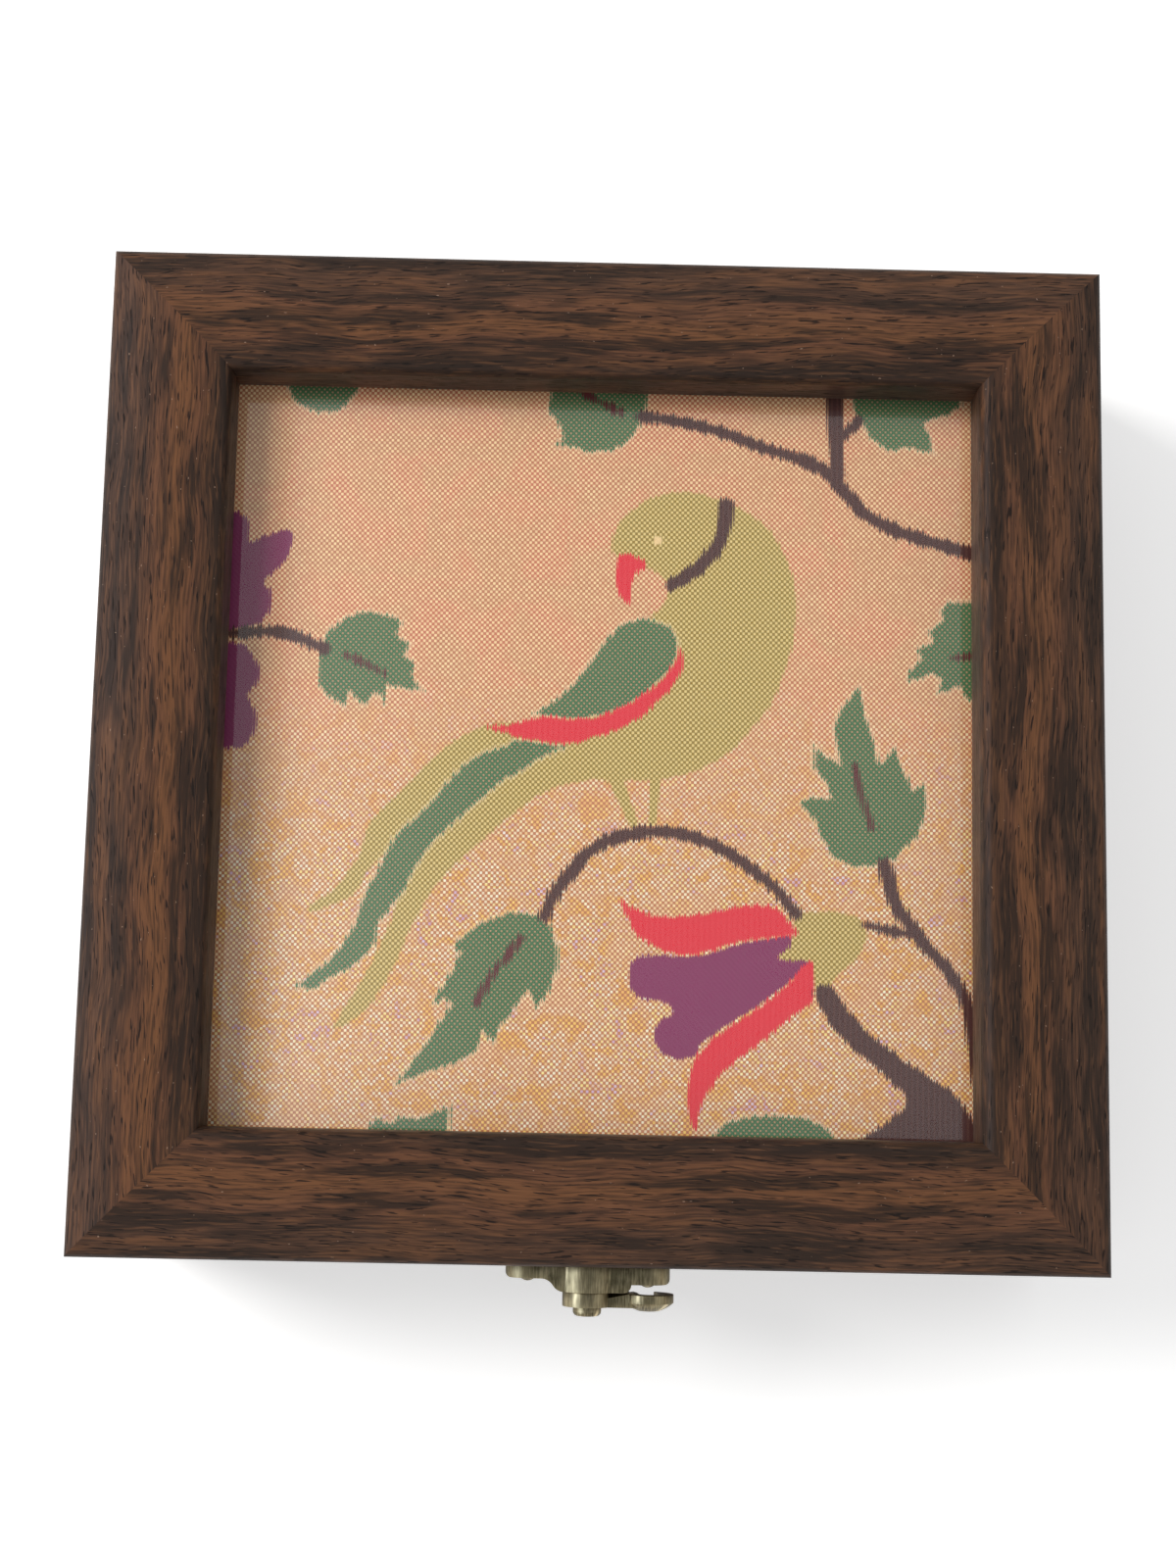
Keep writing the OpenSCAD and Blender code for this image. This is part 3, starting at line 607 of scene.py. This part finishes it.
def brocade_material():
    """Peach ground with gold floats, and a yarn colour wherever its outline attribute is above zero."""
    s = bpy.context.scene.box_brocade
    material, tree, shader = new_material(
        "Woven brocade", Roughness=0.72, Sheen_Weight=0.1, Specular_IOR_Level=0.2
    )
    place, vector = object_place(tree)
    column = calc(tree, "DIVIDE", place[0], s.thread_x)
    row = calc(tree, "DIVIDE", place[1], s.thread_y)
    waves = [calc(tree, "SINE", calc(tree, "MULTIPLY", part, math.pi)) for part in (column, row)]
    checker = calc(tree, "MULTIPLY", *waves)
    dot = scaled(tree, checker, -0.10, 0.30)
    cell = add(tree, "ShaderNodeCombineXYZ", {0: calc(tree, "FLOOR", column), 1: calc(tree, "FLOOR", row)})
    dots = add(tree, "ShaderNodeTexWhiteNoise", {"Vector": cell.outputs[0]}, noise_dimensions="3D")
    random = dots.outputs[0]
    # Painted glints: toward the front of the panel the gold floats turn pale yellow, white and lilac in
    # cloudy patches, a painted reflection of light on the threads; the ground between them is painted a
    # deeper orange to match
    wide = {"Vector": vector, "Scale": 85.0, "Detail": 2.0, "Distortion": 1.6}
    cloud = add(tree, "ShaderNodeTexNoise", wide)
    lower = scaled(tree, place[1], 14 * MM, -16 * MM)
    painted_glint = calc(tree, "MULTIPLY", lower, scaled(tree, cloud.outputs[0], 0.30, 0.48))
    narrow = {"Vector": vector, "Scale": 330.0, "Detail": 2.0, "Distortion": 0.8}
    patch = add(tree, "ShaderNodeTexNoise", narrow)
    spread = scaled(tree, patch.outputs[0], 0.30, 0.70, 0.0, 0.75)
    pick = calc(tree, "ADD", spread, calc(tree, "MULTIPLY", random, 0.25))
    colours = ramp(tree, pick, [
        (0.0, tone(252, 196, 120)), (0.25, tone(255, 214, 112)), (0.42, s.metal),
        (0.55, tone(255, 252, 232)), (0.72, tone(255, 232, 140)), (0.86, tone(214, 178, 216)),
        (1.0, tone(250, 246, 240)),
    ])
    metal = mixed(tree, painted_glint, s.metal, colours)
    deep = mixed(tree, calc(tree, "MULTIPLY", painted_glint, 0.6), s.ground, tone(190, 118, 70))
    flush = mixed(tree, scaled(tree, cloud.outputs[0], 0.42, 0.62, 0.0, 0.6), deep, tone(206, 108, 82))
    deep = mixed(tree, lower, flush, deep)
    fade = scaled(tree, random, 0, 1, 0.68, 1.0)
    colour = mixed(tree, calc(tree, "MULTIPLY", dot, fade), deep, metal)

    comb = calc(tree, "PINGPONG", column, 0.5)
    strand = add(tree, "ShaderNodeTexWhiteNoise", {"W": calc(tree, "FLOOR", column)}, noise_dimensions="1D")
    even_teeth = scaled(tree, comb, 0, 0.5, -0.24, 0.24)
    uneven_teeth = scaled(tree, strand.outputs[0], 0, 1, -0.26, 0.26)
    jitter = calc(tree, "ADD", even_teeth, uneven_teeth)

    def laid(name, below, yarn, soft=0.06, ragged=1.0, rim=0.0, grow=0.0):
        """Lays a yarn over the colours below it. soft and grow are in millimetres, rim is a share."""
        depth = add(tree, "ShaderNodeAttribute", attribute_name=name).outputs["Fac"]
        edge = calc(tree, "ADD", calc(tree, "ADD", depth, grow), calc(tree, "MULTIPLY", jitter, ragged))
        if rim:
            below = mixed(tree, scaled(tree, edge, -0.45, -0.10, 0.0, rim), below, tone(252, 226, 186))
        return mixed(tree, scaled(tree, edge, -soft, soft), below, yarn)

    twill = calc(tree, "SINE", calc(tree, "MULTIPLY", calc(tree, "ADD", column, row), math.pi))
    olive = mixed(tree, dot, s.olive, tone(228, 204, 138))
    flecks = scaled(tree, checker, 0.25, 0.7, 0.0, 0.8)
    green = mixed(tree, flecks, s.green, tone(206, 150, 116))
    green = mixed(tree, scaled(tree, twill, 0.2, 1.0, 0.0, 0.25), green, tone(60, 98, 72))
    ribbed = scaled(tree, waves[0], -1, 1, 0.0, 0.22)
    red = mixed(tree, ribbed, s.red, tone(236, 80, 88))
    purple = mixed(tree, scaled(tree, twill, -1, 1, 0.0, 0.2), s.purple, tone(150, 72, 112))
    brown = mixed(tree, scaled(tree, waves[0], 0.0, 1, 0.0, 0.22), s.brown, tone(120, 82, 70))
    colour = laid("olive", colour, olive, 0.12, 0.8, grow=0.12)
    colour = laid("green", colour, green, 0.06, 1.2, 0.5)
    colour = laid("purple", colour, purple)
    colour = laid("red", colour, red, 0.06, 1.2)
    colour = laid("brown", colour, brown, 0.06, 1.3, grow=0.12)
    colour = laid("vein", colour, tone(92, 36, 40), 0.08, 1.6)
    colour = laid("eye", colour, tone(240, 205, 150), 0.15, 0.5)
    tree.links.new(colour, shader.inputs["Base Color"])
    bumped(tree, shader, checker, 0.2, 0.05 * MM)
    return material


class BOX_OT_brocade(bpy.types.Operator):
    """Weaves the brocade panel that is stretched on its card"""

    bl_idname = "keepsake.brocade"
    bl_label = "Brocade"

    def execute(self, context):
        half = CLOTH_HIGH.x
        shape = bmesh.new()
        cuts = 248
        below_cad_top = 0.05 * MM
        bmesh.ops.create_grid(shape, x_segments=cuts, y_segments=cuts, size=half)
        bmesh.ops.translate(shape, verts=shape.verts, vec=(0, 0, CLOTH_HIGH.z - below_cad_top))
        cloth = finished("brocade_panel", shape, brocade_material(), "lid", ["brocade_cloth"])
        co = np.zeros(len(cloth.data.vertices) * 3)
        cloth.data.vertices.foreach_get("co", co)
        x, y = co[0::3] / MM, co[1::3] / MM
        for name, yarn in YARNS.items():
            attribute = cloth.data.attributes.new(name, "FLOAT", "POINT")
            attribute.data.foreach_set("value", yarn_depth(yarn, x, y).astype(np.float32))
        return {"FINISHED"}


class BOX_OT_glass(bpy.types.Operator):
    """Makes the pane clear"""

    bl_idname = "keepsake.glass"
    bl_label = "Glass"

    def execute(self, context):
        material, tree, shader = new_material(
            "Clear glass", Transmission_Weight=1.0, Roughness=0.0, IOR=1.5, Metallic=0.0
        )
        shader.inputs["Base Color"].default_value = (0.97, 0.99, 0.98, 1)
        rays = add(tree, "ShaderNodeLightPath").outputs
        through = calc(tree, "MAXIMUM", rays["Is Shadow Ray"], rays["Is Diffuse Ray"])
        clear = add(tree, "ShaderNodeBsdfTransparent")
        both = add(tree, "ShaderNodeMixShader", {0: through, 1: shader.outputs[0], 2: clear.outputs[0]})
        tree.links.new(both.outputs[0], tree.nodes["Material Output"].inputs[0])
        dress(["glass_pane"], material)
        return {"FINISHED"}


def velvet_material():
    """Short pile with patches where the nap lies another way."""
    s = bpy.context.scene.box_velvet
    material, tree, shader = new_material("Velvet", Roughness=0.9, Sheen_Weight=0.7, Sheen_Roughness=0.35)
    shader.inputs["Sheen Tint"].default_value = (0.9, 0.35, 0.4, 1)
    _, place = object_place(tree)
    nap = add(tree, "ShaderNodeTexNoise", {"Vector": place, "Scale": 38.0, "Detail": 3.0, "Distortion": 0.4})
    pile = add(tree, "ShaderNodeTexNoise", {"Vector": place, "Scale": 2600.0, "Detail": 2.0})
    light = tuple(min(1.0, c * 1.5 + 0.006) for c in s.pile)
    colour = mixed(tree, scaled(tree, nap.outputs[0], 0.38, 0.64), s.pile, light)
    colour = mixed(tree, scaled(tree, pile.outputs[0], 0.35, 0.65, 0.45, 0.0), colour, (0.02, 0.001, 0.003))
    tree.links.new(colour, shader.inputs["Base Color"])
    bumped(tree, shader, pile.outputs[0], 0.5, 0.15 * MM)
    return material


def covered_card(name, node, body, material, crown=0.0):
    """A card with velvet turned over its edges, padded upward or downward by the crown."""
    s = bpy.context.scene.box_velvet
    low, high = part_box(node)
    size = high - low
    middle = (low + high) / 2
    shape = bmesh.new()
    bmesh.ops.create_cube(shape, size=1, matrix=Matrix.Translation(middle) @ Matrix.Diagonal((*size, 1)))
    if crown:
        level = [e for e in shape.edges if abs(e.verts[0].co.z - e.verts[1].co.z) < 1e-6]
        bmesh.ops.subdivide_edges(shape, edges=level, cuts=24, use_grid_fill=True)
    corner_angle = 1
    edges = [e for e in shape.edges if e.calc_face_angle(0) > corner_angle]
    radius = min(s.edge, min(size) * 0.45)
    bmesh.ops.bevel(
        shape, geom=edges, offset=radius, offset_type="OFFSET", segments=3, profile=0.5,
        affect="EDGES", clamp_overlap=True, material=-1,
    )
    if crown:
        face_z = high.z if crown > 0 else low.z
        for v in shape.verts:
            if abs(v.co.z - face_z) < 1e-6:
                u = 2 * (v.co.x - middle.x) / size.x
                w = 2 * (v.co.y - middle.y) / size.y
                v.co.z += crown * (1 - u**4) * (1 - w**4)
    return finished(name, shape, material, body, [node])


class BOX_OT_velvet(bpy.types.Operator):
    """Lines the box and the lid with velvet-covered cards"""

    bl_idname = "keepsake.velvet"
    bl_label = "Velvet"

    def execute(self, context):
        s = context.scene.box_velvet
        material = velvet_material()
        base = covered_card("velvet_base", "base_lining", "body", material, s.crown)
        top = covered_card("velvet_lid", "lid_lining", "lid", material, -0.3 * s.crown)
        for side in ("front", "back", "left", "right"):
            covered_card("velvet_" + side, "lining_" + side, "body", material)
        return {"FINISHED"}


class BOX_OT_boards(bpy.types.Operator):
    """Finishes the bottom board, the backing board and the card under the brocade"""

    bl_idname = "keepsake.boards"
    bl_label = "Boards"

    def execute(self, context):
        for name, nodes, pale, deep, scale in (
            ("Fibreboard", ["bottom_panel", "backing_board"], (0.40, 0.28, 0.18), (0.24, 0.155, 0.09), 900.0),
            ("Card", ["mount_card"], (0.78, 0.74, 0.66), (0.62, 0.57, 0.49), 1500.0),
        ):
            material, tree, shader = new_material(name)
            _, place = object_place(tree)
            fibre = add(tree, "ShaderNodeTexNoise", {"Vector": place, "Scale": scale, "Detail": 4.0})
            patch = add(tree, "ShaderNodeTexNoise", {"Vector": place, "Scale": 40.0, "Detail": 2.0})
            uneven = scaled(tree, patch.outputs[0], 0.3, 0.7, 0.7, 1.3)
            share = calc(tree, "MULTIPLY", fibre.outputs[0], uneven)
            colour = mixed(tree, scaled(tree, share, 0.35, 0.62), deep, pale)
            tree.links.new(colour, shader.inputs["Base Color"])
            tree.links.new(scaled(tree, share, 0.3, 0.7, 0.85, 0.65), shader.inputs["Roughness"])
            bumped(tree, shader, fibre.outputs[0], 0.4, 0.1 * MM)
            dress(nodes, material)
        return {"FINISHED"}


def brass_group():
    """Tarnished brass: brushed streaks, blotches, and lighter edges that are partly rubbed wear and partly a
    painted highlight.
    """
    s = bpy.context.scene.box_brass
    group, source, result = new_group(
        "Antique brass",
        [("Place", "NodeSocketVector"), ("Edge", "NodeSocketFloat")],
        [("Colour", "NodeSocketColor"), ("Roughness", "NodeSocketFloat"), ("Height", "NodeSocketFloat")],
    )
    x, y, z = add(group, "ShaderNodeSeparateXYZ", {0: source.outputs[0]}).outputs
    stroke_width = 0.16 * MM
    stroke_length = 2.5 * MM
    widths = (stroke_width, stroke_length, stroke_length)
    parts = [calc(group, "DIVIDE", part, width) for part, width in zip((x, y, z), widths)]
    brushed = grain_noise(group, parts, 2.0)
    spots = {"Vector": source.outputs[0], "Scale": 420.0, "Detail": 4.0}
    blotch = add(group, "ShaderNodeTexNoise", spots).outputs[0]
    dark = tuple(c * 0.42 for c in s.metal)
    colour = mixed(group, scaled(group, blotch, 0.36, 0.64), dark, s.metal)
    colour = mixed(group, scaled(group, brushed, 0.45, 0.7, 0.0, 0.4), colour, s.wear_and_highlight)
    # Convex edges take the lighter metal, partly as rubbed wear and partly as a painted highlight on the rims
    colour = mixed(group, source.outputs[1], colour, s.wear_and_highlight)
    matt = scaled(group, blotch, 0.3, 0.7, 0.38, 0.24)
    roughness = calc(group, "ADD", matt, scaled(group, brushed, 0, 1, 0, 0.1))
    for socket, value in zip(result.inputs, (colour, roughness, brushed)):
        group.links.new(value, socket)
    return group


def brass_material(name, group):
    material, tree, shader = new_material(name, Metallic=1.0)
    _, place = object_place(tree)
    # Pointiness finds the convex edges for the lighter metal: rubbed wear and a painted highlight
    wear_and_highlight = add(tree, "ShaderNodeNewGeometry").outputs["Pointiness"]
    node = add(tree, "ShaderNodeGroup", node_tree=group)
    tree.links.new(place, node.inputs[0])
    tree.links.new(scaled(tree, wear_and_highlight, 0.53, 0.62), node.inputs[1])
    tree.links.new(node.outputs[0], shader.inputs["Base Color"])
    tree.links.new(node.outputs[1], shader.inputs["Roughness"])
    bumped(tree, shader, node.outputs[2], 0.12, 0.04 * MM)
    return material


def straighten_plate(shape):
    """Fills the plate's waist out nearly to the height of its ends, between its two nails."""
    filled_to_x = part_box("latch_plate_nails")[1].x - 1.2 * MM
    end_half_height = 3.3 * MM
    waist_half_height = 2.39 * MM
    for v in shape.verts:
        rise = v.co.z - PIVOT.z
        in_waist = waist_half_height < abs(rise) < end_half_height
        if abs(v.co.x - PIVOT.x) <= filled_to_x and in_waist:
            v.co.z = PIVOT.z + math.copysign(end_half_height, rise)
    bmesh.ops.remove_doubles(shape, verts=shape.verts, dist=5e-6)


def fill_neck(shape):
    """Brings the back of the arm's neck out nearly level with its head."""
    head_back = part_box("latch_arm")[1].y
    neck_start = 3 * MM
    neck_end = 7 * MM
    left_behind = 0.1 * MM
    for v in shape.verts:
        on_neck = neck_start < v.co.x - PIVOT.x < neck_end
        if on_neck and 0.7 * MM < head_back - v.co.y < 0.9 * MM:
            v.co.y = head_back - left_behind


class BOX_OT_brass(bpy.types.Operator):
    """Softens the latch and hinges and gives them their antique brass"""

    bl_idname = "keepsake.brass"
    bl_label = "Latch and hinges"

    def execute(self, context):
        s = context.scene.box_brass
        material = brass_material("Antique brass", brass_group())
        softened = {
            "latch_plate": "lid", "latch_arm": "latch_arm", "catch_plate": "body",
            "hinge_body_leaf_left": "body", "hinge_body_leaf_right": "body",
            "hinge_lid_leaf_left": "lid", "hinge_lid_leaf_right": "lid",
        }
        for node, body in softened.items():
            shape = merged_copy(node)
            if node == "latch_plate":
                straighten_plate(shape)
            if node == "latch_arm":
                fill_neck(shape)
            shape = soften(shape, s.edge if node.startswith("latch") else 0.6 * s.edge)
            finished("soft_" + node, shape, material, body, [node])
        dress([
            "latch_rivet", "latch_plate_nails", "catch_peg", "catch_plate_nails", "hinge_pin_left",
            "hinge_pin_right", "hinge_body_screws", "hinge_lid_screws",
        ], material)
        return {"FINISHED"}


class BOX_OT_fasteners(bpy.types.Operator):
    """Gives the pins, brads, nails and points their steel"""

    bl_idname = "keepsake.fasteners"
    bl_label = "Fasteners"

    def execute(self, context):
        material, tree, shader = new_material("Bright steel", Metallic=1.0)
        _, place = object_place(tree)
        drawn = add(tree, "ShaderNodeTexNoise", {"Vector": place, "Scale": 1800.0, "Detail": 3.0}).outputs[0]
        colour = mixed(tree, scaled(tree, drawn, 0.35, 0.65), (0.36, 0.36, 0.37), (0.62, 0.62, 0.61))
        tree.links.new(colour, shader.inputs["Base Color"])
        tree.links.new(scaled(tree, drawn, 0.3, 0.7, 0.25, 0.42), shader.inputs["Roughness"])
        dress(["corner_pins", "bottom_brads", "mitre_nails", "backing_points"], material)
        return {"FINISHED"}


def room_light(strength):
    """White to the camera and through glass, even to matt surfaces, a dim room to glossy ones."""
    world = bpy.data.worlds.new("Room")
    bpy.context.scene.world = world
    world.use_nodes = True
    tree = world.node_tree
    rays = add(tree, "ShaderNodeLightPath").outputs
    direction = add(tree, "ShaderNodeTexCoord").outputs["Generated"]
    x, y, z = add(tree, "ShaderNodeSeparateXYZ", {0: direction}).outputs
    up = calc(tree, "MAXIMUM", z, 0.02)
    lean = calc(tree, "DIVIDE", x, up)
    back = calc(tree, "DIVIDE", y, up)
    ceiling = scaled(tree, lean, -0.139, -0.133)
    nearer = scaled(tree, back, 0.22, 0.02)
    strip = mixed(tree, nearer, (0.62, 0.66, 0.72, 1), (1.25, 1.3, 1.3, 1))
    above = mixed(tree, scaled(tree, lean, -0.12, -0.03), strip, (0.20, 0.21, 0.23, 1))
    low = scaled(tree, z, -0.05, 0.45)
    room = mixed(tree, low, (0.34, 0.26, 0.21, 1), (0.62, 0.62, 0.62, 1))
    off_level = calc(tree, "ABSOLUTE", calc(tree, "SUBTRACT", z, 0.5))
    window = calc(tree, "MULTIPLY", scaled(tree, x, -0.5, -0.6), scaled(tree, off_level, 0.3, 0.25))
    room = mixed(tree, window, room, (1.9, 2.1, 2.4, 1))
    steep = scaled(tree, z, 0.86, 0.9)
    around = mixed(tree, steep, room, (0.10, 0.09, 0.07, 1))
    seen = mixed(tree, calc(tree, "MULTIPLY", steep, ceiling), around, above)
    even = (strength, strength, strength, 1)
    glossy = mixed(tree, rays["Is Glossy Ray"], even, seen)
    direct = calc(tree, "MAXIMUM", rays["Is Camera Ray"], rays["Is Transmission Ray"])
    final = mixed(tree, direct, glossy, (1, 1, 1, 1))
    tree.links.new(final, tree.nodes["Background"].inputs[0])


class BOX_OT_stage(bpy.types.Operator):
    """Sets the camera, the window lamp, the room light and the pale floor"""

    bl_idname = "keepsake.stage"
    bl_label = "Stage"

    def execute(self, context):
        s = context.scene.box_stage
        scene = context.scene
        scene.view_settings.view_transform = "Standard"
        camera = bpy.data.objects.new("Camera", bpy.data.cameras.new("Camera"))
        scene.collection.objects.link(camera)
        camera.data.lens = s.lens
        camera.data.clip_start = 0.01
        tilt, sway, roll = s.tilt
        turn = Matrix.Rotation(roll, 3, "Z") @ Matrix.Rotation(sway, 3, "Y") @ Matrix.Rotation(tilt, 3, "X")
        camera.matrix_world = Matrix.Translation(s.eye) @ turn.transposed().to_4x4()
        scene.camera = camera

        lamp = bpy.data.objects.new("Window", bpy.data.lights.new("Window", "AREA"))
        scene.collection.objects.link(lamp)
        lamp.data.shape = "RECTANGLE"
        lamp.data.size, lamp.data.size_y = 0.45, 0.7
        lamp.data.energy = s.window
        lamp.data.color = (1.0, 0.985, 0.96)
        lamp.location = (-0.85, 0.35, 1.0)
        lamp.rotation_euler = (Vector((0, 0, 0)) - lamp.location).to_track_quat("-Z", "Y").to_euler()
        lamp.visible_glossy = False
        room_light(s.room)

        floor_half_width = 4
        floor_z = -0.1 * MM
        camera_glow = 0.42
        shape = bmesh.new()
        bmesh.ops.create_grid(shape, x_segments=2, y_segments=2, size=floor_half_width)
        bmesh.ops.translate(shape, verts=shape.verts, vec=(0, 0, floor_z))
        mesh = bpy.data.meshes.new("Floor")
        shape.to_mesh(mesh)
        shape.free()
        floor = bpy.data.objects.new("Floor", mesh)
        scene.collection.objects.link(floor)
        material, tree, shader = new_material("Pale floor", Roughness=0.9)
        shader.inputs["Base Color"].default_value = rgba(s.floor)
        rays = add(tree, "ShaderNodeLightPath").outputs
        shader.inputs["Emission Color"].default_value = (1, 1, 1, 1)
        glow = calc(tree, "MULTIPLY", rays["Is Camera Ray"], camera_glow)
        tree.links.new(glow, shader.inputs["Emission Strength"])
        mesh.materials.append(material)
        return {"FINISHED"}


class BOX_PT_panel(bpy.types.Panel):
    """Lists the pieces of the keepsake box"""

    bl_idname = "BOX_PT_panel"
    bl_label = "Keepsake Box"
    bl_space_type = "VIEW_3D"
    bl_region_type = "UI"
    bl_category = "Keepsake Box"

    def draw(self, context):
        for name, group in SETTINGS.items():
            box = self.layout.box()
            for prop in group.__annotations__:
                box.prop(getattr(context.scene, name), prop)
        for operator in OPERATORS:
            self.layout.operator(operator.bl_idname)


SETTINGS = {
    "box_foil": FoilSettings,
    "box_brocade": BrocadeSettings,
    "box_brass": BrassSettings,
    "box_velvet": VelvetSettings,
    "box_stage": StageSettings,
}
OPERATORS = (
    BOX_OT_stage, BOX_OT_foil, BOX_OT_brocade, BOX_OT_glass, BOX_OT_velvet, BOX_OT_boards, BOX_OT_brass,
    BOX_OT_fasteners,
)


def register():
    for group in SETTINGS.values():
        bpy.utils.register_class(group)
    for name, group in SETTINGS.items():
        setattr(bpy.types.Scene, name, PointerProperty(type=group))
    for cls in (*OPERATORS, BOX_PT_panel):
        bpy.utils.register_class(cls)


def unregister():
    for cls in (BOX_PT_panel, *reversed(OPERATORS)):
        bpy.utils.unregister_class(cls)
    for name, group in SETTINGS.items():
        delattr(bpy.types.Scene, name)
        bpy.utils.unregister_class(group)


def main():
    register()
    for operator in OPERATORS:
        area, name = operator.bl_idname.split(".")
        getattr(getattr(bpy.ops, area), name)()


if __name__ == "__main__":
    main()
